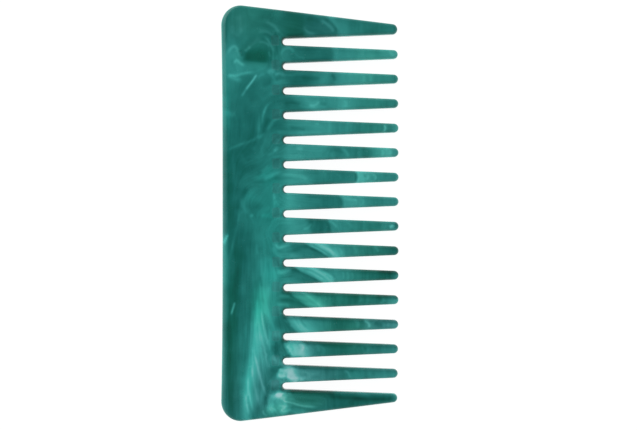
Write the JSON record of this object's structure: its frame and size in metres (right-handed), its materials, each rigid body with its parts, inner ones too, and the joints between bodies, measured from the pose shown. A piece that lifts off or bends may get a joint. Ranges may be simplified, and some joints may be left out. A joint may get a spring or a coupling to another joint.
{
  "type": "wide tooth comb",
  "caption": "Flat one-piece comb with a plain straight spine, rounded corners and long, widely spaced, blunt tapering teeth.",
  "frame": {"origin": "on the underside, at the middle of the rectangle that the comb covers", "axes": "+X along the comb's length, -Y from the spine towards the tooth tips, +Z through the thickness, out of the face that tapers"},
  "size_m": [0.15, 0.0642, 0.0045],
  "materials": {
    "marbled_plastic": "gloss"
  },
  "bodies": {
    "root": {"comb": "marbled_plastic"}
  },
  "joints": []
}
